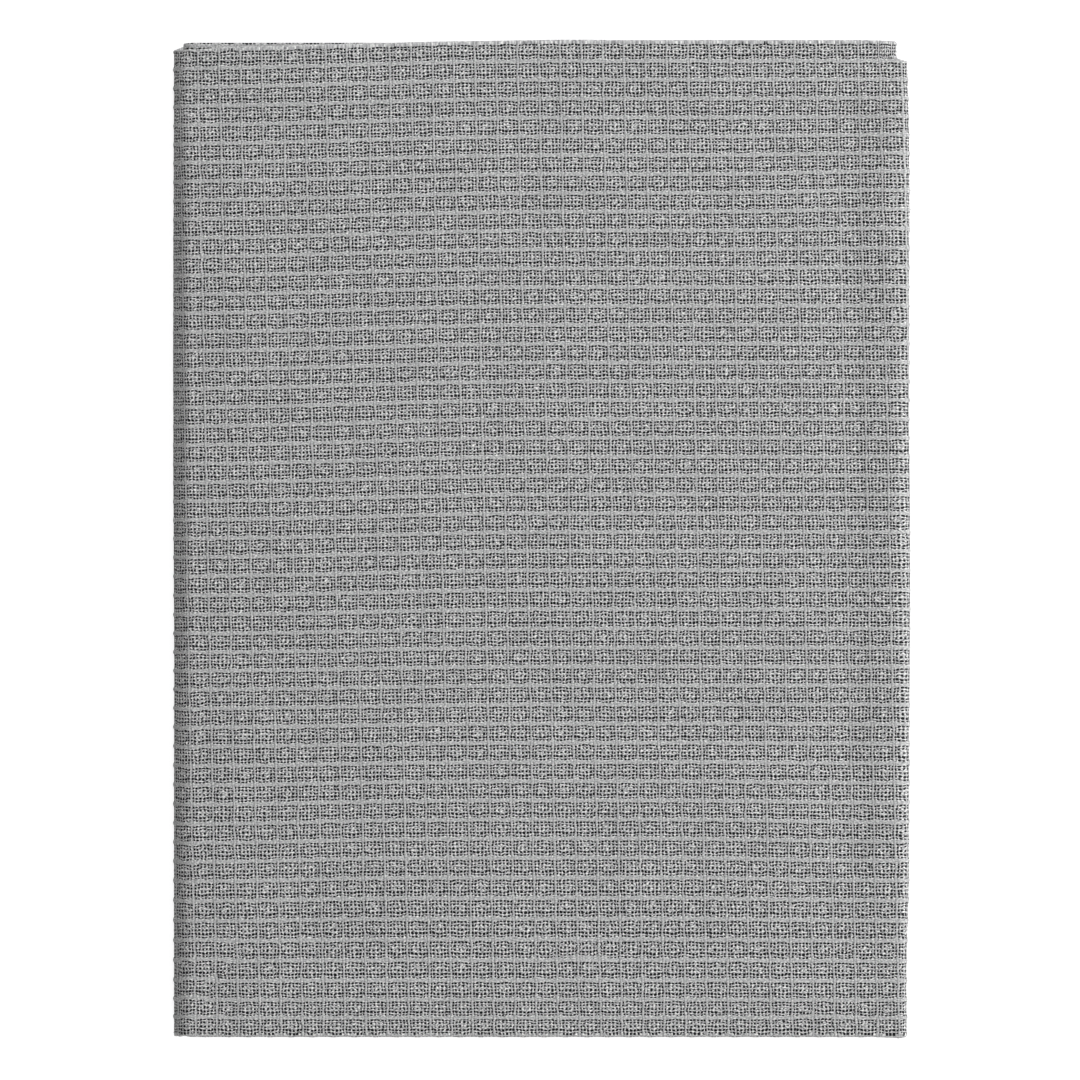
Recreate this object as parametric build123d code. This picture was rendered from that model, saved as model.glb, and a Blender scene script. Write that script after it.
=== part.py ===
"""Folded throw blanket: one hemmed cloth, quartered crosswise and then quartered lengthwise.

Axes: +Z is up from the shelf, +X runs from the closed spine of the packet to its open side, and +Y runs
from the rolled end to the hemmed end.  The origin is the centre of the packet's underside.  Sizes are in mm.

The cloth is first brought end to end and doubled again, which makes a strip four plies deep.  The strip is
then folded in half twice across its width, which stacks four strips: bottom, third, second and top.
"""

from build123d import *
import os

# Whole packet
FOLDED_WIDTH = 350.0  # a quarter of the 1400 mm cloth width
FOLDED_LENGTH = 474.0  # a quarter of the 1900 mm cloth length, less what the rolled ends take up
CLOTH = 1.2  # thickness of one ply under the weight of the stack
STRIP_GAP = 0.2  # air between two strips in the same half
HALF_GAP = 0.4  # air between the half that stays down and the half that lifts

# Hems, thread and label
HEM_WIDTH = 15.0
HEM_STITCH_INSET = 11.0  # from the hemmed edge to the row of stitches
THREAD = 0.3
FREE_EDGE_SETBACK = 1.0  # the free side edges lie this far inside the right fold
LIFT_CLEARANCE = 0.2  # between the spine and the half that lifts away from it
LABEL_WIDTH = 40.0
LABEL_LENGTH = 55.0
LABEL_THICKNESS = 0.2
LABEL_FROM_FREE_EDGE = 22.0
LABEL_FROM_HEMMED_END = 60.0
TACK_LENGTH = 30.0
TACK_WIDTH = 0.4
TACK_HEIGHT = 0.08

# Derived levels and limits
STRIP = 4 * CLOTH
HALF = 2 * STRIP + STRIP_GAP
MIDDLE_Z = HALF + HALF_GAP / 2
RIGHT_FOLD_Z = HALF + HALF_GAP + STRIP + STRIP_GAP / 2
SPINE_X = -FOLDED_WIDTH / 2 + MIDDLE_Z
RIGHT_FOLD_X = FOLDED_WIDTH / 2 - STRIP - STRIP_GAP / 2
FREE_EDGE_X = FOLDED_WIDTH / 2 - FREE_EDGE_SETBACK
FRONT_Y = -FOLDED_LENGTH / 2 + 2 * CLOTH
BACK_Y = FOLDED_LENGTH / 2 - CLOTH

# Quarter of the cloth on each ply of a strip, counted from the strip's outer face inwards
PLIES = ["face", "second", "third", "back"]
HEMMED_PLIES = [2, 3]

# Each strip: level of its underside, whether its face looks up, and where it starts and ends along X
STRIPS = {
    "bottom": (0.0, False, SPINE_X, FREE_EDGE_X),
    "third": (STRIP + STRIP_GAP, True, SPINE_X, FREE_EDGE_X),
    "second": (HALF + HALF_GAP, False, SPINE_X + LIFT_CLEARANCE, RIGHT_FOLD_X),
    "top": (HALF + HALF_GAP + STRIP + STRIP_GAP, True, SPINE_X + LIFT_CLEARANCE, RIGHT_FOLD_X),
}
FREE_SIDED = ["bottom", "third"]

# Each lengthwise fold: X and Z of its axis, smallest radius, heading of its bulge, and whether its faces
# lie on the outside of the fold
FOLDS = {
    "spine_outer": (SPINE_X, MIDDLE_Z, MIDDLE_Z - STRIP, 180, True),
    "spine_inner": (SPINE_X, MIDDLE_Z, HALF_GAP / 2, 180, False),
    "right_fold": (RIGHT_FOLD_X, RIGHT_FOLD_Z, STRIP_GAP / 2, 0, True),
}


def slab(x_limits, y_limits, z_limits):
    """Box between three pairs of limits."""
    size = [high - low for low, high in (x_limits, y_limits, z_limits)]
    middle = [(high + low) / 2 for low, high in (x_limits, y_limits, z_limits)]
    return Pos(*middle) * Box(*size)


def half_tube(inner_radius, outer_radius, length, heading):
    """Half tube on a level axis through the origin, bulging along the heading, measured from +X in degrees."""
    tube = Rot(90, 0, 0) * Cylinder(outer_radius, length)
    if inner_radius > 0:
        tube -= Rot(90, 0, 0) * Cylinder(inner_radius, length)
    open_side = slab((0, outer_radius), (-length / 2, length / 2), (-outer_radius, outer_radius))
    return Rot(0, 0, heading) * (tube & open_side)


def ply_z(strip, ply):
    """Lower and upper level of one ply of a strip."""
    floor, face_up, _, _ = STRIPS[strip]
    step = len(PLIES) - 1 - ply if face_up else ply
    return floor + step * CLOTH, floor + (step + 1) * CLOTH


def ply_plate(strip, ply):
    """Flat part of one ply, stopping short where a hem takes over."""
    _, _, left, right = STRIPS[strip]
    end_x = right - HEM_WIDTH if strip in FREE_SIDED else right
    end_y = BACK_Y - HEM_WIDTH if ply in HEMMED_PLIES else BACK_Y
    return slab((left, end_x), (FRONT_Y, end_y), ply_z(strip, ply))


def stitch_groove(limits, z_limits, along_x):
    """Space for a row of stitches in the upper face of a hem, between two ends."""
    low, high, across = limits
    z = (z_limits[1] - THREAD, z_limits[1])
    line = (across - THREAD / 2, across + THREAD / 2)
    return slab((low, high), line, z) if along_x else slab(line, (low, high), z)


def end_hem(strip):
    """The two end hems that a strip carries, and the thread sewn along each of them."""
    _, _, left, right = STRIPS[strip]
    hems = []
    threads = []
    for ply in HEMMED_PLIES:
        z = ply_z(strip, ply)
        hem = slab((left, right), (BACK_Y - HEM_WIDTH, BACK_Y), z)
        thread = stitch_groove((left, right, BACK_Y - HEM_STITCH_INSET), z, along_x=True)
        hems.append(hem - thread)
        threads.append(thread)
    return Compound(children=hems), Compound(children=threads)


def side_hem(strip):
    """The side hem down a strip's free edge, one length for each ply, and the thread sewn along each."""
    right = STRIPS[strip][3]
    hems = []
    threads = []
    for ply in range(len(PLIES)):
        z = ply_z(strip, ply)
        end_y = BACK_Y - HEM_WIDTH if ply in HEMMED_PLIES else BACK_Y
        hem = slab((right - HEM_WIDTH, right), (FRONT_Y, end_y), z)
        thread = stitch_groove((FRONT_Y, end_y, right - HEM_STITCH_INSET), z, along_x=False)
        hems.append(hem - thread)
        threads.append(thread)
    return Compound(children=hems), Compound(children=threads)


def rolled_end(strip, inner_plies, outer_plies, y, heading, centre_ply):
    """Half roll that turns one ply into another at an end of the strip.

    The radii are counted in plies from the level between ply `centre_ply` and the next one.
    """
    _, _, left, right = STRIPS[strip]
    edges = ply_z(strip, centre_ply) + ply_z(strip, centre_ply + 1)
    centre_z = sum(edges) / len(edges)
    roll = half_tube(inner_plies * CLOTH, outer_plies * CLOTH, right - left, heading)
    return Pos((left + right) / 2, y, centre_z) * roll


def fold_web(fold, ply):
    """Half tube that carries one ply round a lengthwise fold."""
    x, z, smallest, heading, faces_outside = FOLDS[fold]
    step = len(PLIES) - 1 - ply if faces_outside else ply
    inner = smallest + step * CLOTH
    web = half_tube(inner, inner + CLOTH, BACK_Y - FRONT_Y, heading)
    return Pos(x, (FRONT_Y + BACK_Y) / 2, z) * web


def fold_corner(fold, y, end_heading, plies_from_outside, roll_plies):
    """Part of a rolled end carried round a lengthwise fold, as a half ring of half-round section.

    `plies_from_outside` is where the roll's centre lies, counted in plies from the faces' side of the fold.
    """
    x, z, smallest, heading, faces_outside = FOLDS[fold]
    steps = len(PLIES) - plies_from_outside if faces_outside else plies_from_outside
    ring = Rot(90, 0, 0) * Torus(smallest + steps * CLOTH, roll_plies * CLOTH)
    reach = 2 * MIDDLE_Z
    side = 1 if heading == 0 else -1
    end = 1 if end_heading > 0 else -1
    window = Pos(side * reach / 2, end * reach / 2, 0) * Box(reach, reach, 2 * reach)
    return Pos(x, y, z) * (ring & window)


def care_label():
    """Blank care label lying on the third strip, and the two tacks that hold its ends."""
    right = FREE_EDGE_X - LABEL_FROM_FREE_EDGE
    back = BACK_Y - LABEL_FROM_HEMMED_END
    x = (right - LABEL_WIDTH, right)
    y = (back - LABEL_LENGTH, back)
    label = slab(x, y, (HALF, HALF + LABEL_THICKNESS))
    top = HALF + LABEL_THICKNESS
    tacks = []
    for tack_y in (y[0] + TACK_WIDTH * 2, y[1] - TACK_WIDTH * 2):
        limits = (right - LABEL_WIDTH / 2 - TACK_LENGTH / 2, right - LABEL_WIDTH / 2 + TACK_LENGTH / 2)
        tacks.append(slab(limits, (tack_y - TACK_WIDTH / 2, tack_y + TACK_WIDTH / 2), (top, top + TACK_HEIGHT)))
    return label, Compound(children=tacks)


def strip_nodes(strip):
    """Every node of one strip: its plies, its rolled ends and its end hems."""
    nodes = {f"{strip}_strip_{name}_ply": ply_plate(strip, ply) for ply, name in enumerate(PLIES)}
    nodes[f"{strip}_strip_front_outer_roll"] = rolled_end(strip, 1, 2, FRONT_Y, -90, 1)
    nodes[f"{strip}_strip_front_inner_roll"] = rolled_end(strip, 0, 1, FRONT_Y, -90, 1)
    nodes[f"{strip}_strip_back_roll"] = rolled_end(strip, 0, 1, BACK_Y, 90, 0)
    hem, thread = end_hem(strip)
    nodes[f"{strip}_strip_end_hem"] = hem
    nodes[f"{strip}_strip_end_hem_thread"] = thread
    if strip in FREE_SIDED:
        hem, thread = side_hem(strip)
        nodes[f"{strip}_strip_side_hem"] = hem
        nodes[f"{strip}_strip_side_hem_thread"] = thread
    return nodes


def fold_nodes(fold):
    """Every node of one lengthwise fold: a web for each ply and the corners of the rolled ends."""
    nodes = {f"{fold}_{name}_web": fold_web(fold, ply) for ply, name in enumerate(PLIES)}
    nodes[f"{fold}_front_corner"] = fold_corner(fold, FRONT_Y, -90, 2, 2)
    nodes[f"{fold}_back_corner"] = fold_corner(fold, BACK_Y, 90, 1, 1)
    return nodes


def build_nodes():
    """All nodes of the packet, by name."""
    nodes = {}
    for strip in STRIPS:
        nodes.update(strip_nodes(strip))
    for fold in FOLDS:
        nodes.update(fold_nodes(fold))
    nodes["care_label"], nodes["care_label_tacks"] = care_label()
    return nodes


os.makedirs("parts", exist_ok=True)
for node, shape in build_nodes().items():
    export_step(shape, f"parts/{node}.step")
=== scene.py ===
"""Folded throw blanket in a honeycomb weave.

The throw is one cloth.  Folded, it is a packet of four plies, and the packet is carried along a spiral seen
from its rolled end: bottom strip, round the outer spine, top strip, round the right fold, second strip,
round the inner spine, third strip.  Every piece of cloth below is a stretch of that one surface.

Sizes are in millimetres until a mesh is made, which is in metres.
"""

import logging
import math
from dataclasses import dataclass, field
from enum import Enum

import bpy
import numpy as np
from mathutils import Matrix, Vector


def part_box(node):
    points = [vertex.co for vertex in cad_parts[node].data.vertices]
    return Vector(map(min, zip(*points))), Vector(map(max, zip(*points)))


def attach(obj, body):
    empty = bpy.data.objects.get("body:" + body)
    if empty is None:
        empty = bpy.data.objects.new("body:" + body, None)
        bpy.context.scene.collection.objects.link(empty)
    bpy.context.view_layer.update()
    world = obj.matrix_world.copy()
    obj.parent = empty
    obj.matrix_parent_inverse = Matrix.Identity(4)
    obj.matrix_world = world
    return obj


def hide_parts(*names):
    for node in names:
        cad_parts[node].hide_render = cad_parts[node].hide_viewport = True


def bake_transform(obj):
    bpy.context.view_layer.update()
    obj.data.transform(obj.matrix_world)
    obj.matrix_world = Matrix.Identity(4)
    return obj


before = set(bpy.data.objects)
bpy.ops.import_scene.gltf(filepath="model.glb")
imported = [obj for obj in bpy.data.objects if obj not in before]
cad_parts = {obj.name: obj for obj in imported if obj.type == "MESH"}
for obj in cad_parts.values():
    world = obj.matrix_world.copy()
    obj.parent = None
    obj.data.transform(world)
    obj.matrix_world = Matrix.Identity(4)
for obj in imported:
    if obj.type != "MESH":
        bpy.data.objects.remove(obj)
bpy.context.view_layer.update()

MM = 0.001
LOG = logging.getLogger("throw")

Array = np.ndarray
Socket = bpy.types.NodeSocket
Material = bpy.types.Material
Object = bpy.types.Object
Colour = tuple[float, float, float, float]
Place = tuple[float, float, float]
Stops = tuple[tuple[float, float], ...]


def smooth_step(value: Array, start: float, end: float) -> Array:
    """Rise from 0 to 1 between two values, level at both ends."""
    part = np.clip((value - start) / (end - start), 0.0, 1.0)
    return part * part * (3.0 - 2.0 * part)


def hump(value: Array, centre: float, width: float) -> Array:
    """Bell curve of height 1."""
    return np.exp(-(((value - centre) / width) ** 2))


class Body(Enum):
    """The two halves of the packet that the spine joins."""

    LOWER = "lower_half"
    UPPER = "upper_half"


class Slot(Enum):
    """Material slots of the record."""

    CLOTH = "woven_cloth"
    THREAD = "sewing_thread"
    LABEL = "label_tape"


# Materials


@dataclass
class Wiring:
    """Adds nodes to one material and joins them up.

    Args:
        tree: the material's node tree.
    """

    tree: bpy.types.NodeTree

    def put(self, socket: Socket, value: object) -> None:
        """Join a socket to another one, or set it to a plain value."""
        if isinstance(value, Socket):
            self.tree.links.new(value, socket)
        else:
            socket.default_value = value

    def maths(self, operation: str, *values: object, clamp: bool = False) -> Socket:
        """Apply one arithmetic operation.

        Args:
            operation: the Math node's operation, in capitals.
            values: its inputs, sockets or numbers.
            clamp: keep the result between 0 and 1.

        Returns:
            The result's socket.
        """
        node = self.tree.nodes.new("ShaderNodeMath")
        node.operation = operation
        node.use_clamp = clamp
        for socket, value in zip(node.inputs, values):
            self.put(socket, value)
        return node.outputs[0]

    def times(self, first: object, second: object) -> Socket:
        """Product of two values."""
        return self.maths("MULTIPLY", first, second)

    def minus(self, first: object, second: object) -> Socket:
        """First value less the second."""
        return self.maths("SUBTRACT", first, second)

    def line(self, value: object, slope: object, base: object, clamp: bool = False) -> Socket:
        """Value times the slope, plus the base."""
        return self.maths("MULTIPLY_ADD", value, slope, base, clamp=clamp)

    def wave(self, value: object, turns: float) -> Socket:
        """Cosine of a value counted in turns."""
        return self.maths("COSINE", self.times(value, 2.0 * math.pi * turns))

    def pulse(self, value: object, turns: float, power: float, inverted: bool = False) -> Socket:
        """Row of peaks, one each turn, made by raising a cosine between 0 and 1 to a power."""
        level = self.line(self.wave(value, turns), -0.5 if inverted else 0.5, 0.5)
        return self.maths("POWER", level, power)

    def bell(self, distance: object, width: float) -> Socket:
        """Bell curve of a distance."""
        scaled = self.maths("DIVIDE", distance, width)
        return self.maths("EXPONENT", self.times(self.times(scaled, scaled), -1.0))

    def stretched(self, vector: object, turn: float, scale: tuple[float, float]) -> Socket:
        """Turn a flat position by an angle and scale its two directions unequally."""
        node = self.tree.nodes.new("ShaderNodeMapping")
        node.inputs["Rotation"].default_value = (0.0, 0.0, turn)
        node.inputs["Scale"].default_value = (*scale, 1.0)
        self.put(node.inputs["Vector"], vector)
        return node.outputs["Vector"]

    def noise(self, vector: object, scale: float, detail: float = 2.0) -> Socket:
        """Noise between 0 and 1 with an average of a half."""
        node = self.tree.nodes.new("ShaderNodeTexNoise")
        node.noise_dimensions = "2D"
        self.put(node.inputs["Vector"], vector)
        node.inputs["Scale"].default_value = scale
        node.inputs["Detail"].default_value = detail
        return node.outputs["Fac"]

    def steps(self, value: object, stops: Stops) -> Socket:
        """Read a level from a smooth ramp given as (place, level) stops."""
        node = self.tree.nodes.new("ShaderNodeValToRGB")
        ramp = node.color_ramp
        ramp.interpolation = "EASE"
        while len(ramp.elements) < len(stops):
            ramp.elements.new(1.0)
        for element, (place, level) in zip(ramp.elements, stops):
            element.position = place
            element.color = (level, level, level, 1.0)
        self.put(node.inputs["Fac"], value)
        return node.outputs["Color"]

    def blend(self, share: object, first: object, second: object) -> Socket:
        """Mix two colours."""
        node = self.tree.nodes.new("ShaderNodeMix")
        node.data_type = "RGBA"
        self.put(node.inputs["Factor"], share)
        self.put(node.inputs["A"], first)
        self.put(node.inputs["B"], second)
        return node.outputs["Result"]

    def bump(self, height: object, distance: float, strength: float) -> Socket:
        """Normal disturbed by a height."""
        node = self.tree.nodes.new("ShaderNodeBump")
        node.inputs["Distance"].default_value = distance
        node.inputs["Strength"].default_value = strength
        self.put(node.inputs["Height"], height)
        return node.outputs["Normal"]


def new_material(name: str) -> tuple[Material, Wiring, bpy.types.Node]:
    """Start a material that has only a shader and an output.

    Args:
        name: the material's name.

    Returns:
        The material, its wiring and its Principled shader.
    """
    material = bpy.data.materials.new(name)
    material.use_nodes = True
    shader = next(n for n in material.node_tree.nodes if n.type == "BSDF_PRINCIPLED")
    return material, Wiring(material.node_tree), shader


@dataclass(frozen=True)
class WovenCloth:
    """Honeycomb weave of six ends by six picks to a cell, in heathered grey cotton.

    The surface's own map counts cells: whole numbers run along the raised ribs.
    """

    name: str = "honeycomb cloth"
    yarns: int = 6
    dark_yarn: Colour = (0.140, 0.143, 0.147, 1.0)
    yarn: Colour = (0.374, 0.377, 0.379, 1.0)
    light_yarn: Colour = (0.76, 0.755, 0.745, 1.0)
    # Near-black painted shade for the openings between the yarns and the lines beside the long ribs.
    gap_shade: Colour = (0.006, 0.006, 0.007, 1.0)
    roughness: float = 0.92
    specular: float = 0.12
    sheen: float = 0.10
    sheen_roughness: float = 0.6
    bulge: float = 0.05
    relief: float = 0.0009
    relief_strength: float = 0.5
    wander_across: float = 0.14
    wander_along: float = 0.12
    cross_rib_width: float = 0.085
    long_rib_width: float = 0.045
    contrast: float = 6.0
    rib_calm: float = 3.6
    patchiness: float = 0.24
    openness_along: Stops = (
        (0.06, 0.0),
        (0.167, 0.50),
        (0.333, 0.92),
        (0.5, 0.40),
        (0.667, 0.42),
        (0.833, 0.92),
        (0.93, 0.0),
    )
    openness_at_rib: Stops = ((0.02, 0.25), (0.08, 1.0))
    openness_to_corner: Stops = ((0.0, 0.72), (0.36, 1.0), (0.70, 1.0), (0.88, 0.35))
    unevenness: float = 3.4
    opening_gain: float = 9.5
    opening_floor: float = 0.78
    # Strength of the painted shade lines along both sides of each long rib.
    rib_shade_strength: float = 0.34

    def build(self) -> Material:
        """Build the material.

        Returns:
            A material that reads the map named weave.
        """
        material, wiring, shader = new_material(self.name)
        cells = wiring.tree.nodes.new("ShaderNodeUVMap")
        cells.uv_map = "weave"
        across, along = self.wobbled(wiring, cells.outputs["UV"])
        column = wiring.maths("FRACT", across)
        row = wiring.maths("FRACT", along)
        bowed_row = self.bowed(wiring, row, column, self.bulge)
        bowed_column = self.bowed(wiring, column, row, self.bulge * 0.4)
        ribs = self.ribs(wiring, row, column)
        gaps = self.gaps(wiring, cells.outputs["UV"], bowed_row, bowed_column, column)
        fibres = wiring.noise(wiring.stretched(cells.outputs["UV"], 0.32, (9.0, 17.0)), 1.0, 3.0)
        patches = wiring.noise(cells.outputs["UV"], 0.45, 3.0)
        colour = self.heather(wiring, fibres, patches, ribs)
        # Painted shade: the openings and the lines beside the long ribs are blended towards near black.
        colour = wiring.blend(gaps, colour, self.gap_shade)
        height = self.yarn_heights(wiring, fibres, bowed_row, bowed_column, ribs)
        height = wiring.minus(height, gaps)
        wiring.put(shader.inputs["Base Color"], colour)
        wiring.put(shader.inputs["Normal"], wiring.bump(height, self.relief, self.relief_strength))
        shader.inputs["Roughness"].default_value = self.roughness
        shader.inputs["Specular IOR Level"].default_value = self.specular
        shader.inputs["Sheen Weight"].default_value = self.sheen
        shader.inputs["Sheen Roughness"].default_value = self.sheen_roughness
        return material

    def wobbled(self, wiring: Wiring, cells: object) -> tuple[Socket, Socket]:
        """Let the yarns wander by a few hundredths of a cell, as loose cotton yarns do.

        Args:
            wiring: the material's wiring.
            cells: the surface's map.

        Returns:
            The wandering position across and along the cloth, in cells.
        """
        split = wiring.tree.nodes.new("ShaderNodeSeparateXYZ")
        wiring.put(split.inputs[0], cells)
        sideways = wiring.noise(cells, 1.7, 3.0)
        endways = wiring.noise(cells, 2.3, 3.0)
        across = wiring.line(wiring.minus(sideways, 0.5), self.wander_across, split.outputs[0])
        along = wiring.line(wiring.minus(endways, 0.5), self.wander_along, split.outputs[1])
        return across, along

    def bowed(self, wiring: Wiring, place: object, other: object, amount: float) -> Socket:
        """Spread the yarns round the middle of each cell, most at its centre and not at all at its ribs.

        The place moves by amount, times the squared sine of the other direction, times a full sine of itself.
        """
        middle = wiring.pulse(other, 1.0, 1.0, inverted=True)
        swing = wiring.maths("SINE", wiring.times(place, 2.0 * math.pi))
        return wiring.line(wiring.times(middle, swing), amount, place)

    def from_rib(self, wiring: Wiring, place: object) -> Socket:
        """Distance to the nearest rib, in cells."""
        return wiring.maths("MINIMUM", place, wiring.minus(1.0, place))

    def ribs(self, wiring: Wiring, row: object, column: object) -> Socket:
        """Both sets of ribs, from 0 in the hollows to 1 along a rib."""
        cross_rib = wiring.bell(self.from_rib(wiring, row), self.cross_rib_width)
        long_rib = wiring.bell(self.from_rib(wiring, column), self.long_rib_width)
        return wiring.maths("MAXIMUM", cross_rib, long_rib)

    def heather(self, wiring: Wiring, fibres: object, patches: object, ribs: object) -> Socket:
        """Colour of the yarns: dark and light fibres twisted together, calmer along the ribs.

        Args:
            wiring: the material's wiring.
            fibres: streaky noise as fine as a yarn.
            patches: broad noise.
            ribs: how near a rib is.

        Returns:
            The colour's socket.
        """
        calm = wiring.line(ribs, -self.rib_calm, self.contrast)
        level = wiring.times(wiring.minus(fibres, 0.5), calm)
        level = wiring.maths("ADD", level, wiring.line(patches, self.patchiness, -self.patchiness / 2))
        dark = wiring.line(level, -1.0, 0.0, clamp=True)
        light = wiring.line(level, 1.0, -0.05, clamp=True)
        return wiring.blend(light, wiring.blend(dark, self.yarn, self.dark_yarn), self.light_yarn)

    def gaps(
        self, wiring: Wiring, cells: object, bowed_row: object, bowed_column: object, column: object
    ) -> Socket:
        """Where the openings between the picks lie, as short uneven dashes broken by the ends; build() paints
        them near black as painted shade.

        Args:
            wiring: the material's wiring.
            cells: the surface's map.
            bowed_row: place along the cell with the picks spread apart.
            bowed_column: place across the cell with the ends spread apart.
            column: plain place across the cell.

        Returns:
            How open the cloth is, from 0 to 1.
        """
        rows = wiring.pulse(bowed_row, self.yarns, 1.0)
        dashes = wiring.pulse(bowed_column, self.yarns, 1.0, inverted=True)
        dashes = wiring.line(dashes, 0.94, 0.06)
        along_row = wiring.steps(bowed_row, self.openness_along)
        from_rib = self.from_rib(wiring, column)
        at_sides = wiring.bell(wiring.minus(from_rib, 0.14), 0.06)
        strength = wiring.times(along_row, wiring.line(at_sides, 0.45, 1.0))
        strength = wiring.times(strength, wiring.steps(from_rib, self.openness_at_rib))
        corner = wiring.maths("ADD", wiring.wave(bowed_row, 1.0), wiring.wave(bowed_column, 1.0))
        rounded = wiring.steps(wiring.line(corner, 0.25, 0.5), self.openness_to_corner)
        strength = wiring.times(strength, rounded)
        openings = wiring.times(wiring.times(rows, dashes), strength)
        chance = wiring.noise(wiring.stretched(cells, 0.12, (4.5, 7.0)), 1.0, 2.0)
        chance = wiring.line(wiring.minus(chance, 0.5), self.unevenness, 1.04)
        openings = wiring.times(openings, chance)
        openings = wiring.line(openings, self.opening_gain, -self.opening_floor, clamp=True)
        # Painted shade: a thin dark line along both sides of each long rib.
        beside = wiring.minus(from_rib, 0.07)
        rib_shade_lines = wiring.times(wiring.bell(beside, 0.022), self.rib_shade_strength)
        return wiring.maths("MAXIMUM", openings, rib_shade_lines, clamp=True)

    def yarn_heights(
        self, wiring: Wiring, fibres: object, bowed_row: object, bowed_column: object, ribs: object
    ) -> Socket:
        """Height of the yarns: round picks between the gaps, finer ends, and the ribs that bury both.

        Args:
            wiring: the material's wiring.
            fibres: streaky noise as fine as a yarn.
            bowed_row: place along the cell with the picks spread apart.
            bowed_column: place across the cell with the ends spread apart.
            ribs: how near a rib is.

        Returns:
            Height from about 0 to 1.
        """
        picks = wiring.pulse(bowed_row, self.yarns, 0.8, inverted=True)
        ends = wiring.pulse(bowed_column, self.yarns, 0.8)
        body = wiring.line(picks, 0.42, wiring.times(ends, 0.22))
        body = wiring.times(body, wiring.line(ribs, -0.7, 1.0))
        height = wiring.line(ribs, 0.5, body)
        return wiring.line(fibres, 0.5, height)


@dataclass(frozen=True)
class SewingThread:
    """Matt spun thread, a shade lighter than the cloth."""

    name: str = "hem thread"
    colour: Colour = (0.36, 0.36, 0.365, 1.0)
    dark: Colour = (0.24, 0.24, 0.245, 1.0)
    roughness: float = 0.75

    def build(self) -> Material:
        """Build the material, with the twist of the thread as fine slanting bands."""
        material, wiring, shader = new_material(self.name)
        place = wiring.tree.nodes.new("ShaderNodeTexCoord").outputs["Object"]
        strands = wiring.noise(place, 4200.0, 2.0)
        wiring.put(shader.inputs["Base Color"], wiring.blend(strands, self.dark, self.colour))
        wiring.put(shader.inputs["Normal"], wiring.bump(strands, 0.0001, 0.6))
        shader.inputs["Roughness"].default_value = self.roughness
        return material


@dataclass(frozen=True)
class LabelTape:
    """Woven satin tape of a blank care label."""

    name: str = "label tape"
    colour: Colour = (0.80, 0.80, 0.77, 1.0)
    dark: Colour = (0.66, 0.66, 0.63, 1.0)
    roughness: float = 0.45

    def build(self) -> Material:
        """Build the material, with a fine cross weave."""
        material, wiring, shader = new_material(self.name)
        place = wiring.tree.nodes.new("ShaderNodeTexCoord").outputs["Object"]
        split = wiring.tree.nodes.new("ShaderNodeSeparateXYZ")
        wiring.put(split.inputs[0], place)
        ends = wiring.pulse(split.outputs[0], 2600.0, 1.0)
        picks = wiring.pulse(split.outputs[1], 2200.0, 1.0)
        weave = wiring.times(ends, picks)
        wiring.put(shader.inputs["Base Color"], wiring.blend(weave, self.dark, self.colour))
        wiring.put(shader.inputs["Normal"], wiring.bump(weave, 0.00008, 0.5))
        shader.inputs["Roughness"].default_value = self.roughness
        return material


@dataclass(frozen=True)
class FloorPaint:
    """Plain pale floor, faintly lit from below like a light table."""

    name: str = "pale floor"
    colour: Colour = (0.3, 0.3, 0.3, 1.0)
    glow: float = 0.88

    def build(self) -> Material:
        """Build the material."""
        material, _, shader = new_material(self.name)
        shader.inputs["Base Color"].default_value = self.colour
        shader.inputs["Emission Color"].default_value = (1.0, 1.0, 1.0, 1.0)
        shader.inputs["Emission Strength"].default_value = self.glow
        shader.inputs["Roughness"].default_value = 1.0
        shader.inputs["Specular IOR Level"].default_value = 0.0
        return material


# Meshes


def mesh_object(
    name: str,
    points: Array,
    faces: list[list[int]],
    material: Material,
    weave: Array | None = None,
    flat_faces: int = 0,
) -> Object:
    """Make an object from points in millimetres.

    Args:
        name: the object's name.
        points: vertices, one row each, in millimetres.
        faces: vertex numbers of each face.
        material: the object's only material.
        weave: place of each vertex in the weave, in cells, for the map named weave.
        flat_faces: how many faces at the end of the list are shaded flat, with sharp edges round them.

    Returns:
        The new object, linked to the scene.
    """
    mesh = bpy.data.meshes.new(name)
    mesh.from_pydata((points * MM).tolist(), [], faces)
    smooth = np.ones(len(faces), dtype=bool)
    if flat_faces:
        smooth[-flat_faces:] = False
    mesh.polygons.foreach_set("use_smooth", smooth)
    if flat_faces:
        edges = np.empty(len(mesh.loops), dtype=np.int32)
        mesh.loops.foreach_get("edge_index", edges)
        sharp = np.zeros(len(mesh.edges), dtype=bool)
        sharp[edges[mesh.polygons[-flat_faces].loop_start :]] = True
        mesh.attributes.new("sharp_edge", "BOOLEAN", "EDGE").data.foreach_set("value", sharp)
    if weave is not None:
        corners = np.empty(len(mesh.loops), dtype=np.int32)
        mesh.loops.foreach_get("vertex_index", corners)
        layer = mesh.uv_layers.new(name="weave")
        layer.data.foreach_set("uv", weave[corners].astype(np.float32).ravel())
    mesh.materials.append(material)
    mesh.update()
    made = bpy.data.objects.new(name, mesh)
    bpy.context.scene.collection.objects.link(made)
    return made


def grid_faces(columns: int, rows: int, ring: bool) -> Array:
    """Quads of a grid whose vertices are numbered column by column.

    Args:
        columns: vertices in the first direction.
        rows: vertices in the second direction.
        ring: join the last row to the first.

    Returns:
        One row of four vertex numbers for each quad.
    """
    column = np.arange(columns - 1)[:, None]
    row = np.arange(rows if ring else rows - 1)[None, :]
    following = (row + 1) % rows
    here = column * rows
    there = here + rows
    return np.stack([here + row, here + following, there + following, there + row], axis=-1).reshape(-1, 4)


# The packet


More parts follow.
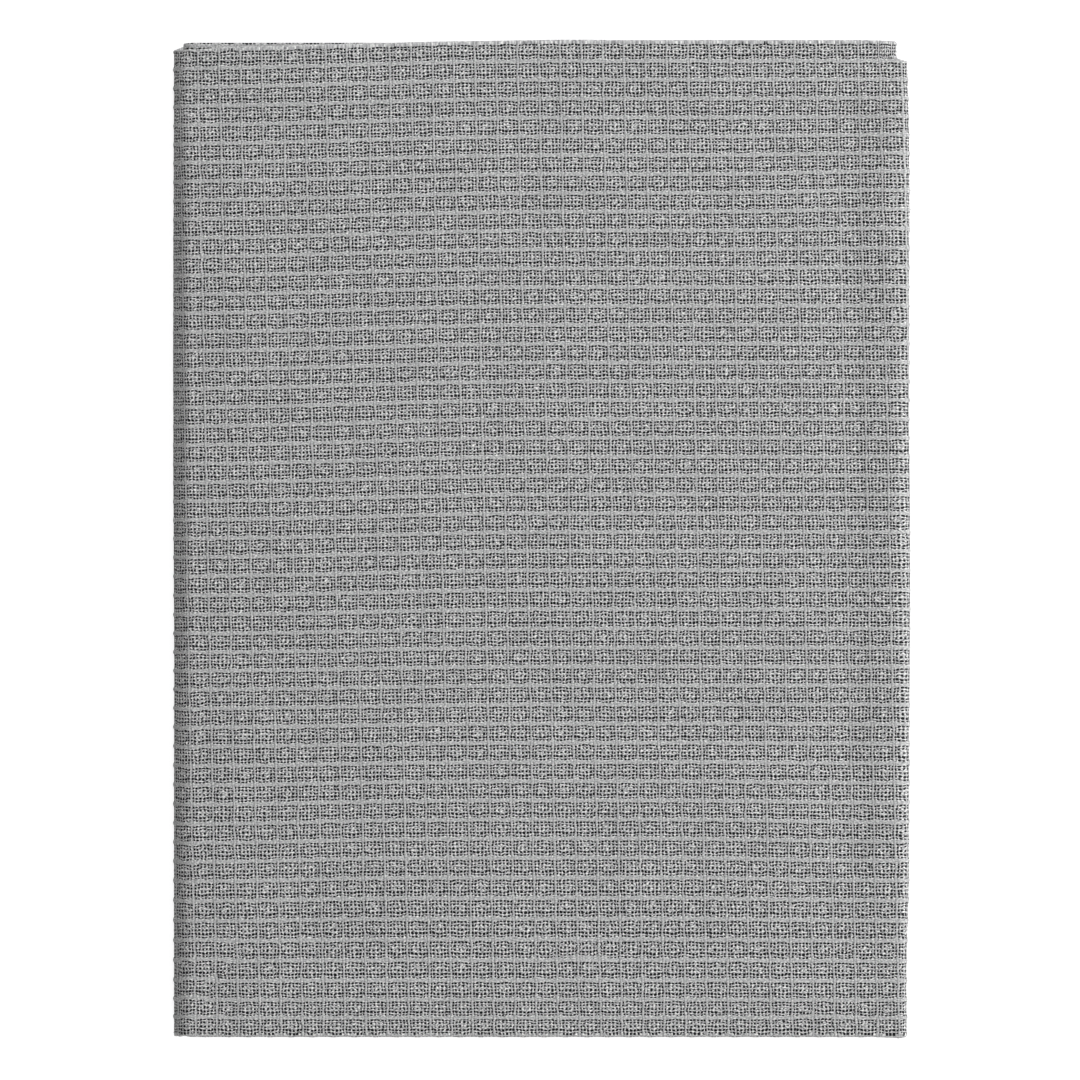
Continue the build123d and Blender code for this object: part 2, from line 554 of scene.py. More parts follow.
@dataclass
class Weave:
    """Where the honeycomb lies on the cloth, and how deep it is."""

    across: float = 10.12
    along: float = 8.95
    rib_x: float = -26.34
    rib_y: float = 29.5
    rib_height: float = 0.30
    long_rib_height: float = 0.22
    island_height: float = 0.10

    def cells(self, s: Array, t: Array) -> Array:
        """Turn distances over the cloth into cells, with whole numbers on the ribs."""
        return np.stack([(s - self.rib_x) / self.across, (t - self.rib_y) / self.along], axis=-1)

    def relief(self, cells: Array) -> Array:
        """Height of the surface below the top of the ribs, in millimetres.

        It is the larger of two bell-shaped ribs, plus a low island in the middle of each cell, less the rib's
        height.
        """
        nearest = np.abs(cells - np.round(cells))
        cross_rib = self.rib_height * np.exp(-((nearest[..., 1] / 0.12) ** 2))
        long_rib = self.long_rib_height * np.exp(-((nearest[..., 0] / 0.10) ** 2))
        centre = np.sum((0.5 - nearest) ** 2, axis=-1)
        island = self.island_height * np.exp(-centre / 0.035)
        return np.maximum(cross_rib, long_rib) + island - self.rib_height

    def lines(self, low: float, high: float, origin: float, cell: float, per_cell: int) -> Array:
        """Grid lines locked to the ribs between two limits, with the limits themselves as end lines."""
        pitch = cell / per_cell
        first = math.ceil((low - origin) / pitch + 0.3)
        last = math.floor((high - origin) / pitch - 0.3)
        inner = origin + pitch * np.arange(first, last + 1)
        return np.concatenate([[low], inner, [high]])


@dataclass
class Rows:
    """One closed trip round the plies of the packet, as arrays with one entry for each row of vertices.

    Each row has a middle place in the thickness of its ply, the step from there to the surface, the place of
    that row on the cloth, and how much of the weave's relief and of the top panel's dents it takes.
    """

    y: Array
    h: Array
    step_y: Array
    step_h: Array
    t: Array
    relief: Array
    dents: Array


@dataclass(frozen=True)
class Bead:
    """A bead with a bell curve for its section, or a hollow if its height is negative."""

    height: float
    centre: float
    width: float

    def at(self, place: Array) -> Array:
        """Height at a place."""
        return self.height * hump(place, self.centre, self.width)


@dataclass(frozen=True)
class Rise:
    """A smooth step between two places, or a fall if its height is negative."""

    height: float
    start: float
    end: float

    def at(self, place: Array) -> Array:
        """Height at a place."""
        return self.height * smooth_step(place, self.start, self.end)


@dataclass(frozen=True)
class TopPanel:
    """How the layers below shape the top panel, and how far its weave is drawn or sags."""

    side_groove: Bead = Bead(-0.5, 146.0, 11.0)
    side_bead: Rise = Rise(1.35, 146.0, 168.0)
    far_groove: Bead = Bead(-0.5, 201.0, 9.0)
    far_bead: Rise = Rise(0.7, 202.0, 217.0)
    far_crease: Bead = Bead(-0.35, 227.0, 3.0)
    near_fall: Rise = Rise(-0.8, 158.0, 200.0)
    near_bead: Bead = Bead(0.55, -214.0, 9.0)
    spine_fall: float = 1.4
    pull_place: tuple[float, float] = (137.0, -212.0)
    pull_slope: float = 0.38
    pull_bead: Bead = Bead(0.8, 0.0, 5.0)
    pull_hollow: Bead = Bead(-0.7, -12.0, 5.0)
    drawn: tuple[Rise, ...] = (
        Rise(1.2, 0.0, 50.0),
        Rise(1.2, 60.0, 150.0),
        Rise(5.0, 143.0, 222.0),
        Rise(-0.8, 215.0, 236.0),
    )
    drawn_back: float = 1.1
    near_sag: Bead = Bead(1.4, -150.0, 45.0)
    far_lift: Bead = Bead(1.3, 165.0, 38.0)

    def creep(self, y: Array) -> Array:
        """How far the weave is drawn towards the rolled end, as smooth steps that widen the cells there."""
        return sum(rise.at(-y) for rise in self.drawn) - self.drawn_back

    def sag(self, s: Array, y: Array) -> Array:
        """How far the cross ribs drop: at both sides near the rolled end, and upwards at the far right."""
        near = self.near_sag.at(y) * smooth_step(np.abs(s), 60.0, 160.0)
        return near - self.far_lift.at(y) * smooth_step(s, 80.0, 165.0)

    def dents(self, x: Array, y: Array) -> Array:
        """Height of the beads and hollows that the layers below press into the panel.

        Each has its own line, and fades out at the ends of that line.  Broad low swells are added.
        """
        along_side = smooth_step(y, -205.0, -150.0) * (1 - smooth_step(y, 195.0, 225.0))
        along_end = smooth_step(x, -172.0, -150.0) * (1 - smooth_step(x, 150.0, 172.0))
        far_share = 0.35 + 0.65 * along_end
        height = (self.side_groove.at(x) + self.side_bead.at(x)) * along_side
        height += (self.far_groove.at(y) + self.far_bead.at(y)) * far_share
        height += self.far_crease.at(y) * far_share
        height += (self.near_fall.at(-y) + self.near_bead.at(y)) * along_end
        height += -self.spine_fall * (1 - smooth_step(x, -174.0, -142.0))
        pull_x, pull_y = self.pull_place
        diagonal = (y - pull_y) - self.pull_slope * (x - pull_x)
        height += (self.pull_bead.at(diagonal) + self.pull_hollow.at(diagonal)) * hump(x, pull_x, 22.0)
        height += 0.16 * np.sin(x / 23.0 + 0.6 * np.sin(y / 41.0)) * np.cos(y / 37.0 + 1.1)
        height += 0.10 * np.cos(x / 11.5 - y / 29.0 + 0.7) * np.sin(y / 17.0 + x / 60.0)
        return height


@dataclass(frozen=True)
class Knots:
    """Distances along the cloth where the spiral passes from a flat strip to a fold or back."""

    free_low: float
    leave_bottom: float
    enter_top: float
    leave_flat: float
    leave_top: float
    leave_second: float
    enter_third: float
    free_high: float


@dataclass
class Packet:
    """The folded cloth: sizes taken from the frame, and the two curves that carry its surface."""

    weave: Weave = field(default_factory=Weave)
    panel: TopPanel = field(default_factory=TopPanel)
    cloth: float = 1.2
    slack: float = 0.05
    lean: float = 0.020
    bow: float = 3.4
    hem_end_setback: float = 0.4
    spine_opening: float = 1.3
    right_opening: float = 1.0
    spine_puff: float = 0.4
    seam_press: float = 0.2
    corner_tuck: float = 5.2
    spine_x: float = 0.0
    right_x: float = 0.0
    free_x: float = 0.0
    front_y: float = 0.0
    back_y: float = 0.0
    middle_z: float = 0.0
    strip_z: dict[str, float] = field(default_factory=dict)

    def __post_init__(self) -> None:
        """Read the frame's plies, folds and levels."""
        low, high = self.node_box("third_strip_face_ply")
        self.spine_x = low[0]
        self.front_y, self.back_y = low[1], high[1]
        self.right_x = self.node_box("top_strip_face_ply")[1][0]
        self.free_x = self.node_box("third_strip_side_hem")[1][0]
        self.middle_z = sum(self.node_box("spine_outer_face_web")[i][2] for i in (0, 1)) / 2
        for strip in ("bottom", "third", "second", "top"):
            face = self.node_box(f"{strip}_strip_face_ply")
            back = self.node_box(f"{strip}_strip_back_ply")
            self.strip_z[strip] = (min(face[0][2], back[0][2]) + max(face[1][2], back[1][2])) / 2

    @staticmethod
    def node_box(node: str) -> tuple[Array, Array]:
        """Lowest and highest corner of a frame node, in millimetres."""
        low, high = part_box(node)
        return np.array(low) / MM, np.array(high) / MM

    @property
    def half_packet(self) -> float:
        """Distance from the middle of the packet to its face."""
        return 2 * self.cloth

    @property
    def outer_radius(self) -> float:
        """Radius of the packet's middle round the outer spine."""
        return self.strip_z["top"] - self.middle_z

    @property
    def inner_radius(self) -> float:
        """Radius of the packet's middle round the inner spine."""
        return self.strip_z["second"] - self.middle_z

    @property
    def right_radius(self) -> float:
        """Radius of the packet's middle round the right fold."""
        return (self.strip_z["top"] - self.strip_z["second"]) / 2

    @property
    def knots(self) -> Knots:
        """Where the spiral passes from one stretch to the next, by the lengths of its strips and turns."""
        face = self.half_packet - self.cloth / 2
        turn_out = math.pi * (self.outer_radius + face)
        turn_right = math.pi * (self.right_radius + face)
        turn_in = math.pi * (self.inner_radius - face)
        width = self.right_x - self.spine_x
        leave_top = self.right_x + turn_right
        leave_second = leave_top + width
        enter_third = leave_second + turn_in
        reach = self.free_x - self.spine_x
        return Knots(
            free_low=self.spine_x - turn_out - reach,
            leave_bottom=self.spine_x - turn_out,
            enter_top=self.spine_x,
            leave_flat=self.right_x,
            leave_top=leave_top,
            leave_second=leave_second,
            enter_third=enter_third,
            free_high=enter_third + reach,
        )

    def spiral(self, s: Array) -> tuple[Array, Array, Array, Array]:
        """Carry a distance along the cloth to its place in the end view.

        Flat strips are straight lines at the strips' levels.  Between them the line turns through half a
        circle about the middle of the spine, or of the right fold, at the radius of that turn.

        Args:
            s: distances across the cloth, with 0 on the middle of the top strip.

        Returns:
            x and z of the packet's middle line, and x and z of the direction that the cloth's face looks.
        """
        k = self.knots
        right_z = (self.strip_z["top"] + self.strip_z["second"]) / 2
        outer = math.pi / 2 + math.pi * (k.enter_top - s) / (k.enter_top - k.leave_bottom)
        right = math.pi / 2 - math.pi * (s - k.leave_flat) / (k.leave_top - k.leave_flat)
        inner = math.pi / 2 + math.pi * (s - k.leave_second) / (k.enter_third - k.leave_second)
        ends = (k.leave_bottom, k.enter_top, k.leave_flat, k.leave_top, k.leave_second, k.enter_third)
        where = [s < end for end in ends]
        one = np.ones_like(s)
        x = np.select(
            where,
            [
                self.spine_x + (k.leave_bottom - s),
                self.spine_x + self.outer_radius * np.cos(outer),
                s,
                self.right_x + self.right_radius * np.cos(right),
                self.right_x - (s - k.leave_top),
                self.spine_x + self.inner_radius * np.cos(inner),
            ],
            self.spine_x + (s - k.enter_third),
        )
        z = np.select(
            where,
            [
                self.strip_z["bottom"] * one,
                self.middle_z + self.outer_radius * np.sin(outer),
                self.strip_z["top"] * one,
                right_z + self.right_radius * np.sin(right),
                self.strip_z["second"] * one,
                self.middle_z + self.inner_radius * np.sin(inner),
            ],
            self.strip_z["third"] * one,
        )
        none = 0 * one
        face_x = np.select(where, [none, np.cos(outer), none, np.cos(right), none, -np.cos(inner)], 0.0)
        face_z = np.select(where, [-one, np.sin(outer), one, np.sin(right), -one, -np.sin(inner)], 1.0)
        return x, z, face_x, face_z

    def flat_row(
        self, h: float, side: float, ys: Array, t: Array, relief: float, dents: float
    ) -> list[Array]:
        """Rows over one flat ply: its middle height, the side the surface is on, and places along the ply."""
        thick = self.cloth / 2 - self.slack
        one = np.ones_like(ys)
        return [ys, h * one, 0 * one, side * thick * one, t, relief * one, dents * one]

    def turn_rows(
        self,
        y: float,
        h: float,
        radius: float,
        step: float,
        angles: Array,
        t0: float,
        t1: float,
        relief: float,
    ) -> list[Array]:
        """Rows round a turn of one ply: a circle of its middle radius, with a step outwards or inwards."""
        cos, sin = np.cos(angles), np.sin(angles)
        t = np.linspace(t0, t1, len(angles))
        dents = np.full_like(angles, 1.0 if relief > 0 else 0.0)
        middle = [y + radius * cos, h + radius * sin]
        return [*middle, step * cos, step * sin, t, relief * np.ones_like(t), dents]

    def rows(self, per_cell: int) -> Rows:
        """Walk once round the section of the packet, over every ply and back.

        The walk goes over the face, round the rolled end, under the back ply to its hem, back inside it,
        through the second and third plies, and out round the single turn at the hemmed end.

        Args:
            per_cell: rows for each cell of the weave on the face.

        Returns:
            The rows in order.  The last row joins the first.
        """
        half = math.pi / 2
        c = self.cloth
        thick = c / 2 - self.slack
        front, back = self.front_y, self.back_y
        end = back + c - self.hem_end_setback - thick
        face_low = front + self.panel.creep(np.array(front))
        face_high = back + self.panel.creep(np.array(back))
        face_t = self.weave.lines(face_low, face_high, self.weave.rib_y, self.weave.along, per_cell)[::-1]
        face_y = face_t
        for _ in range(12):
            face_y = face_t - self.panel.creep(face_y)
        roll = math.pi * 1.5 * c
        sparse = np.linspace(front, end, 9)
        inside = np.linspace(front, back, 9)
        out = np.linspace(half, 3 * half, 9)
        bead = np.linspace(-half, half, 7)[:-1]
        tip = np.linspace(-half, half, 5)
        back_t = front - roll - (sparse - front)
        outer, inner = 1.5 * c, 0.5 * c
        doubled, doubled_in = back + (back - sparse), back + (back - inside)
        parts = [
            self.flat_row(outer, 1, face_y, face_y, 1.0, 1.0),
            self.turn_rows(front, 0, outer, thick, out[1:-1], front, front - roll, 1.0),
            self.flat_row(-outer, -1, sparse, back_t, 0.0, 0.0),
            self.turn_rows(end, -outer, 0, thick, tip[1:-1], back_t[-1], back_t[-1] - c, 0.0),
            self.flat_row(-outer, 1, sparse[::-1], back_t[::-1], 0.0, 0.0),
            self.turn_rows(front, 0, outer, -thick, out[::-1][1:-1], front - roll, front, 0.0),
            self.flat_row(outer, -1, inside, inside, 0.0, 0.0),
            self.flat_row(inner, 1, inside[::-1], doubled_in[::-1], 0.0, 0.0),
            self.turn_rows(front, 0, inner, thick, out[1:-1], back, back + c, 0.0),
            self.flat_row(-inner, -1, sparse, doubled, 0.0, 0.0),
            self.turn_rows(end, -inner, 0, thick, tip[1:-1], back, back + c, 0.0),
            self.flat_row(-inner, 1, sparse[::-1], doubled[::-1], 0.0, 0.0),
            self.flat_row(inner, -1, inside, doubled_in, 0.0, 0.0),
            self.turn_rows(back, c, inner, thick, bead[1:], back + 1.2 * c, back, 1.0),
        ]
        walk = Rows(*[np.concatenate(column) for column in zip(*parts)])
        walk.t = walk.t + self.panel.creep(np.clip(walk.t, front, back))
        return walk

    def lean_share(self, s: Array) -> Array:
        """Share of the weave's lean at a distance: all of it on the top strip, none at the free edges."""
        k = self.knots
        from_high = np.clip((k.free_high - s) / (k.free_high - k.leave_top), 0, 1)
        return np.minimum(from_high, np.clip((s - k.free_low) / (k.enter_top - k.free_low), 0, 1))

    def grid_share(self, s: Array) -> Array:
        """Share of the lean that the columns of vertices take: none round the spine, all of it 25 mm away."""
        k = self.knots
        outer = np.maximum(k.leave_bottom - s, s - k.enter_top)
        inner = np.maximum(k.leave_second - s, s - k.enter_third)
        return smooth_step(np.minimum(outer, inner), 0.0, 25.0)

    def surface(self, columns: Array, rows: Rows, edge_round: Array, growth: float) -> tuple[Array, Array]:
        """Carry the rows along the spiral.

        Place = middle line + face direction x height + length direction x distance along, where the height
        and the distance have the weave's relief added along the surface's own direction.

        Args:
            columns: distances across the cloth, one for each column of vertices.
            rows: the trip round the plies.
            edge_round: share of the ply's thickness left at each column, which rounds a free edge.
            growth: how much longer the weave is on each ply than on the face, for each millimetre below it.

        Returns:
            Points in millimetres and their places in the weave, both as (column, row, value).
        """
        k = self.knots
        s0 = columns[:, None]
        lean = self.lean * rows.y[None, :]
        s = s0 - lean * self.lean_share(s0) * self.grid_share(s0)
        x, z, face_x, face_z = self.spiral(s)
        depth = self.half_packet - self.cloth / 2 - rows.h[None, :]
        on_cloth = s + lean * self.lean_share(s) + (s - columns.mean()) * growth * depth
        cells = self.weave.cells(on_cloth, rows.t[None, :] + 0 * s0)
        raised = self.raised(s, cells) * rows.relief[None, :]
        not_right = 1 - smooth_step(s, k.leave_top - 8.0, k.leave_top)
        on_top = smooth_step(s, k.enter_top - 22.0, k.enter_top) * not_right
        top_x = np.clip(s, k.enter_top - 6.0, k.leave_top)
        dents = self.panel.dents(top_x, rows.y[None, :]) * rows.dents[None, :] * on_top
        step = edge_round[:, None] + (raised + dents) / (self.cloth / 2 - self.slack)
        h = rows.h[None, :] + rows.step_h[None, :] * step
        y = rows.y[None, :] + rows.step_y[None, :] * step
        carried = smooth_step(s, k.leave_bottom, k.leave_bottom + 14.0) * not_right
        lag = 0.5 * (1 + np.cos(math.pi * np.clip((s + 175.0) / 185.0, 0, 1))) * carried
        y = y - self.bow * lag * smooth_step(y, -225.0, 60.0) - self.panel.sag(s, y) * carried
        px = x + face_x * h
        notch = smooth_step(px, 158.0, 175.0) * smooth_step(y, 227.3, 229.5)
        points = np.stack([px - self.corner_tuck * notch, y, z + face_z * h], axis=-1)
        return points, cells

    def raised(self, s: Array, cells: Array) -> Array:
        """Relief of the weave: opened up round the folds, and pressed flat on the outer spine's two seams."""
        k = self.knots
        flattened = hump(s, k.enter_top, 4.0) + hump(s, k.leave_bottom, 4.0)
        at_spine = hump(s, (k.leave_bottom + k.enter_top) / 2, 8.0)
        at_right = hump(s, (k.leave_flat + k.leave_top) / 2, 5.0)
        opened = 1 + self.spine_opening * at_spine + self.right_opening * at_right
        loose = self.weave.relief(cells) * opened + self.spine_puff * at_spine
        return loose * (1 - flattened) - self.seam_press * flattened


@dataclass
class ClothPiece:
    """A stretch of the packet between two distances along the spiral.

    Args:
        name: the object's name.
        packet: the folded cloth.
        start: where the stretch starts, in millimetres along the spiral.
        end: where it ends.
        across: columns for each cell.
        along: rows for each cell on the face.
        replaces: frame nodes that it stands for.
        turn_radius: radius of the packet's middle round the fold in this stretch, or 0.
        growth: how much longer each ply is than the face round a fold, for each millimetre below it.
        free_start: the stretch starts at a free edge of the cloth.
        free_end: the stretch ends at a free edge of the cloth.
    """

    name: str
    packet: Packet
    start: float
    end: float
    across: int
    along: int
    replaces: list[str]
    turn_radius: float = 0.0
    growth: float = 0.0
    free_start: bool = False
    free_end: bool = False

    @property
    def flat_part(self) -> float:
        """Width of the stretch without its fold."""
        return self.packet.right_x - self.packet.spine_x if self.end - self.start > 100.0 else 0.0

    def declare(self) -> None:
        """Round a fold the outer plies are longer than the inner ones.  Nothing is set from that here: the
        method returns without doing anything.
        """
        if self.turn_radius == 0.0:
            return

    def columns(self) -> tuple[Array, Array]:
        """Place the columns and round the free edges.

        Returns:
            Distances across the cloth, and the share of the ply's thickness kept at each.
        """
        weave = self.packet.weave
        places = weave.lines(self.start, self.end, weave.rib_x, weave.across, self.across)
        lip = self.packet.cloth / 2
        angles = np.linspace(0.08, math.pi / 2, 5)
        if self.free_start:
            inner = places[places > self.start + lip * 1.2]
            places = np.concatenate([self.start + lip * (1 - np.cos(angles[::-1]))[::-1], inner])
        if self.free_end:
            inner = places[places < self.end - lip * 1.2]
            places = np.concatenate([inner, self.end - lip * (1 - np.cos(angles[::-1]))])
        depth = np.full_like(places, lip)
        if self.free_start:
            depth = np.minimum(depth, places - self.start)
        if self.free_end:
            depth = np.minimum(depth, self.end - places)
        share = np.sqrt(np.clip(1 - (1 - depth / lip) ** 2, 0.02, 1.0))
        return places, share

    def build(self, material: Material) -> Object:
        """Make the mesh: a closed skin round every ply, with its two ends closed.

        Args:
            material: the cloth.

        Returns:
            The new object.
        """
        places, share = self.columns()
        rows = self.packet.rows(self.along)
        points, cells = self.packet.surface(places, rows, share, self.growth)
        count = points.shape[1]
        faces = grid_faces(len(places), count, ring=True)
        caps = [list(range(count))[::-1], list(range((len(places) - 1) * count, len(places) * count))]
        flat = points.reshape(-1, 3)
        made = mesh_object(self.name, flat, faces.tolist() + caps, material, cells.reshape(-1, 2), len(caps))
        face_outwards(made)
        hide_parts(*self.replaces)
        self.declare()
        LOG.info("%s: %d faces", self.name, len(made.data.polygons))
        return made


def face_outwards(made: Object) -> None:
    """Turn a closed mesh inside out if its signed volume is negative."""
    mesh = made.data
    mesh.calc_loop_triangles()
    corners = np.empty(len(mesh.loop_triangles) * 3, dtype=np.int32)
    mesh.loop_triangles.foreach_get("vertices", corners)
    places = np.empty(len(mesh.vertices) * 3)
    mesh.vertices.foreach_get("co", places)
    a, b, c = places.reshape(-1, 3)[corners.reshape(-1, 3)].transpose(1, 0, 2)
    if np.einsum("ij,ij->", a, np.cross(b, c)) < 0:
        mesh.flip_normals()


@dataclass
class Blanket:
    """Every stretch of the cloth: the strips ridden on their half of the packet, the spine pieces baked in
    place on neither half.
    """

    packet: Packet

    def nodes(self, start: str, *endings: str) -> list[str]:
        """Frame nodes whose names start one way, and end in one of the endings if any are given."""
        names = [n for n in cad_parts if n.startswith(start)]
        return [n for n in names if not endings or n.endswith(endings)]

    def cloth_nodes(self, strip: str) -> list[str]:
        """Frame nodes of one strip without its sewing thread."""
        return [n for n in self.nodes(f"{strip}_strip") if not n.endswith("thread")]

    def build(self, material: Material) -> None:
        """Build the six stretches.

        Args:
            material: the cloth.
        """
        p = self.packet
        k = p.knots
        face = p.half_packet - p.cloth / 2
        top_nodes = self.cloth_nodes("top") + self.nodes("right_fold")
        stretches = [
            ("top", Body.UPPER, k.enter_top, k.leave_top, 6, {"turn_radius": p.right_radius}),
            ("second", Body.UPPER, k.leave_top, k.leave_second, 4, {}),
            ("third", Body.LOWER, k.enter_third, k.free_high, 4, {"free_end": True}),
            ("bottom", Body.LOWER, k.free_low, k.leave_bottom, 4, {"free_start": True}),
        ]
        for strip, body, start, end, fine, more in stretches:
            nodes = top_nodes if strip == "top" else self.cloth_nodes(strip)
            piece = ClothPiece(f"{strip}_strip_cloth", p, start, end, fine, fine, nodes, **more)
            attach(piece.build(material), body.value)
        webs = self.nodes("spine_outer")
        shrink = -1 / (p.outer_radius + face)
        ends = (k.leave_bottom, k.enter_top)
        outer = ClothPiece("outer_spine_cloth", p, *ends, 12, 6, webs, p.outer_radius, shrink)
        self.bend(outer.build(material))
        webs = self.nodes("spine_inner")
        growth = 1 / (p.inner_radius - face)
        ends = (k.leave_second, k.enter_third)
        inner = ClothPiece("inner_spine_cloth", p, *ends, 64, 4, webs, p.inner_radius, growth)
        self.bend(inner.build(material))

    def bend(self, piece: Object) -> None:
        """Bake a spine piece's transform into its mesh; it is left attached to neither half."""
        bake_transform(piece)


@dataclass
class StitchRow:
    """A row of lockstitches, each a small capsule laid end to end with its neighbours.

    Args:
        name: the object's name.
        lines: start and end of each row, in millimetres.
        replaces: frame nodes that it stands for.
        body: the half of the packet that it rides on.
    """

    name: str
    lines: list[tuple[Place, Place]]
    replaces: list[str]
    body: Body
    pitch: float = 3.4
    length: float = 2.9
    radius: float = 0.17
    around: int = 6
    along: int = 5

    def capsule(self) -> tuple[Array, Array]:
        """One stitch along X: a circle carried along the stitch, its radius the root of a half ellipse.

        Returns:
            Points as (along, around, value), and the quads between them.
        """
        place = np.linspace(-1, 1, self.along)[:, None]
        angle = np.arange(self.around)[None, :] * 2 * math.pi / self.around
        size = self.radius * np.sqrt(1 - (0.94 * place) ** 2)
        x = 0.5 * self.length * place + 0 * angle
        points = np.stack([x, size * np.cos(angle), size * np.sin(angle)], axis=-1)
        return points.reshape(-1, 3), grid_faces(self.along, self.around, ring=True)

    def build(self, material: Material) -> Object:
        """Lay the stitches along every line.

        Args:
            material: the thread.

        Returns:
            The new object.
        """
        stitch, quads = self.capsule()
        last_ring = (self.along - 1) * self.around
        caps = [list(range(self.around))[::-1], list(range(last_ring, last_ring + self.around))]
        every, faces, ends = [], [], []
        total = 0
        for start, end in self.lines:
            first, last = np.array(start), np.array(end)
            run = last - first
            count = max(1, int(np.linalg.norm(run) / self.pitch))
            run = run / np.linalg.norm(run)
            side = np.cross([0.0, 0.0, 1.0], run)
            turned = stitch[:, :1] * run + stitch[:, 1:2] * side + stitch[:, 2:] * np.array([0.0, 0.0, 1.0])
            middles = first + run * self.pitch * (np.arange(count)[:, None] + 0.5)
            every.append((middles[:, None, :] + turned[None]).reshape(-1, 3))
            shift = total + np.arange(count)[:, None, None] * len(stitch)
            faces.append((quads[None] + shift).reshape(-1, 4))
            ends.append((np.array(caps)[None] + shift).reshape(-1, self.around))
            total += count * len(stitch)
        all_faces = np.concatenate(faces).tolist() + np.concatenate(ends).tolist()
        made = mesh_object(self.name, np.concatenate(every), all_faces, material)
        face_outwards(made)
        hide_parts(*self.replaces)
        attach(made, self.body.value)
        LOG.info("%s: %d faces", self.name, len(made.data.polygons))
        return made


@dataclass
class CareLabel:
    """Blank care label, laid flat on the third strip and tacked at both ends."""

    packet: Packet
    ripple: float = 0.06
    columns: int = 24
    rows: int = 32

    def build(self, tape: Material, thread: Material) -> None:
        """Make the tape as a thin closed sheet, and its tacks.

        The sheet is a flat rectangle with a low ripple, thickened by Solidify.

        Args:
            tape: the label's material.
            thread: the tacks' material.
        """
        low, high = self.packet.node_box("care_label")
        u = np.linspace(0, 1, self.columns)[:, None]
        v = np.linspace(0, 1, self.rows)[None, :]
        x = low[0] + (high[0] - low[0]) * u + 0 * v
        y = low[1] + (high[1] - low[1]) * v + 0 * u
        z = high[2] + self.ripple * np.sin(3 * math.pi * u) * np.sin(2 * math.pi * v) * 0.5
        points = np.stack([x, y, z], axis=-1).reshape(-1, 3)
        faces = grid_faces(self.columns, self.rows, ring=False)[:, ::-1].tolist()
        made = mesh_object("care_label_tape", points, faces, tape)
        solid = made.modifiers.new("thickness", "SOLIDIFY")
        solid.thickness = 0.16 * MM
        solid.offset = -1.0
        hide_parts("care_label")
        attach(made, Body.LOWER.value)
        LOG.info("care_label_tape: %d faces", len(made.data.polygons))
        tack_low, tack_high = self.packet.node_box("care_label_tacks")
        ends = [
            ((tack_low[0], end, tack_high[2] - 0.02), (tack_high[0], end, tack_high[2] - 0.02))
            for end in (tack_low[1] + 0.2, tack_high[1] - 0.2)
        ]
        tacks = StitchRow("care_label_tack_stitches", ends, ["care_label_tacks"], Body.LOWER, radius=0.09)
        tacks.build(thread)


@dataclass
class HemStitching:
    """Stitches of the end hems and of the side hems."""

    packet: Packet
    sunk: float = 0.28

    def thread_lines(self, node: str, levels: list[float], along_x: bool) -> list[tuple]:
        """Rows of stitches at the given levels, along the middle of a frame node's thread."""
        low, high = self.packet.node_box(node)
        middle = (low + high) / 2
        if along_x:
            return [((low[0] + 2, middle[1], z), (high[0] - 2, middle[1], z)) for z in levels]
        return [((middle[0], low[1] + 2, z), (middle[0], high[1] - 2, z)) for z in levels]

    def build(self, thread: Material) -> None:
        """Lay every row.

        Args:
            thread: the thread's material.
        """
        cloth = self.packet.cloth
        for body, strips in ((Body.UPPER, ("top", "second")), (Body.LOWER, ("third", "bottom"))):
            lines = []
            for strip in strips:
                level = self.packet.strip_z[strip]
                side = 1 if strip in ("top", "third") else -1
                levels = [level - side * cloth * share for share in (0.5, 1.5)]
                lines += self.thread_lines(f"{strip}_strip_end_hem_thread", levels, along_x=True)
            nodes = [f"{strip}_strip_end_hem_thread" for strip in strips]
            StitchRow(f"{body.value}_end_hem_stitches", lines, nodes, body).build(thread)
        for strip in ("third", "bottom"):
            level = self.packet.strip_z[strip]
            side = 1 if strip == "third" else -1
            levels = [level + side * (2 * cloth - self.sunk)]
            levels += [level + side * cloth * share for share in (0.5, -0.5, -1.5)]
            node = f"{strip}_strip_side_hem_thread"
            lines = self.thread_lines(node, levels, along_x=False)
            StitchRow(f"{strip}_side_hem_stitches", lines, [node], Body.LOWER).build(thread)


# The studio


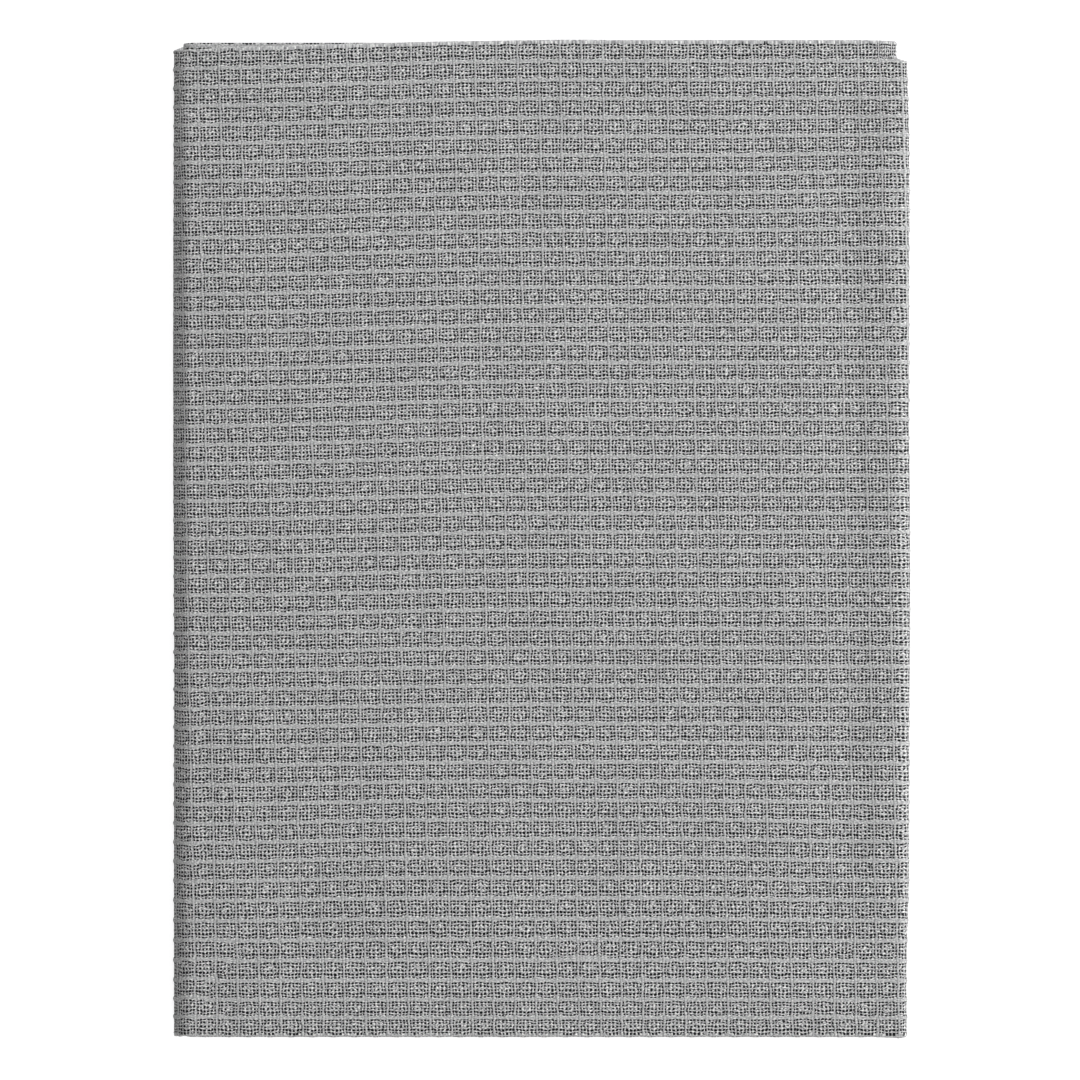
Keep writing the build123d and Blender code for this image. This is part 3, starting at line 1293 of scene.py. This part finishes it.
@dataclass
class Studio:
    """Pale floor, soft lamps and a camera looking straight down."""

    view_width: float = 0.5130
    lens: float = 200.0
    sensor: float = 36.0
    top: float = 0.0195
    sky: float = 0.12
    floor_reach: float = 4000.0

    def lamp(self, name: str, place: Place, size: float, power: float) -> None:
        """Hang a square soft lamp at a place, aimed at the middle of the packet."""
        data = bpy.data.lights.new(name, "AREA")
        data.shape = "SQUARE"
        data.size = size
        data.energy = power
        made = bpy.data.objects.new(name, data)
        made.location = place
        aim = -np.array(place)
        flat = math.hypot(aim[0], aim[1])
        made.rotation_euler = (math.atan2(flat, -aim[2]), 0.0, math.atan2(aim[1], aim[0]) - math.pi / 2)
        bpy.context.scene.collection.objects.link(made)

    def build(self) -> None:
        """Set up the floor, the lamps, the sky and the camera."""
        scene = bpy.context.scene
        corners = [[-1, -1, 0], [1, -1, 0], [1, 1, 0], [-1, 1, 0]]
        points = np.array(corners, dtype=float) * self.floor_reach
        floor = mesh_object("studio_floor", points, [[0, 1, 2, 3]], FloorPaint().build())
        self.lamp("right_softbox", (2.6, 0.2, 1.5), 1.2, 80.0)
        self.lamp("far_softbox", (0.4, 2.6, 1.4), 1.2, 62.0)
        self.lamp("near_softbox", (0.4, -2.6, 1.4), 1.2, 38.0)
        self.lamp("overhead_softbox", (0.7, 0.0, 3.6), 1.6, 22.0)
        world = bpy.data.worlds.new("studio_air")
        world.use_nodes = True
        air = next(n for n in world.node_tree.nodes if n.type == "BACKGROUND")
        air.inputs["Color"].default_value = (1.0, 1.0, 1.0, 1.0)
        air.inputs["Strength"].default_value = self.sky
        scene.world = world
        scene.view_settings.view_transform = "Standard"
        data = bpy.data.cameras.new("camera")
        data.lens = self.lens
        data.sensor_width = self.sensor
        data.clip_start = 0.05
        camera = bpy.data.objects.new("camera", data)
        camera.location = (0.0, 0.0, self.top + self.view_width * self.lens / self.sensor)
        scene.collection.objects.link(camera)
        scene.camera = camera


def main() -> None:
    """Build the throw, its stitching and label, and the studio round it."""
    logging.basicConfig(level=logging.INFO, format="%(name)s %(message)s")
    packet = Packet()
    cloth = WovenCloth().build()
    thread = SewingThread().build()
    Blanket(packet).build(cloth)
    HemStitching(packet).build(thread)
    CareLabel(packet).build(LabelTape().build(), thread)
    Studio().build()


if __name__ == "__main__":
    main()
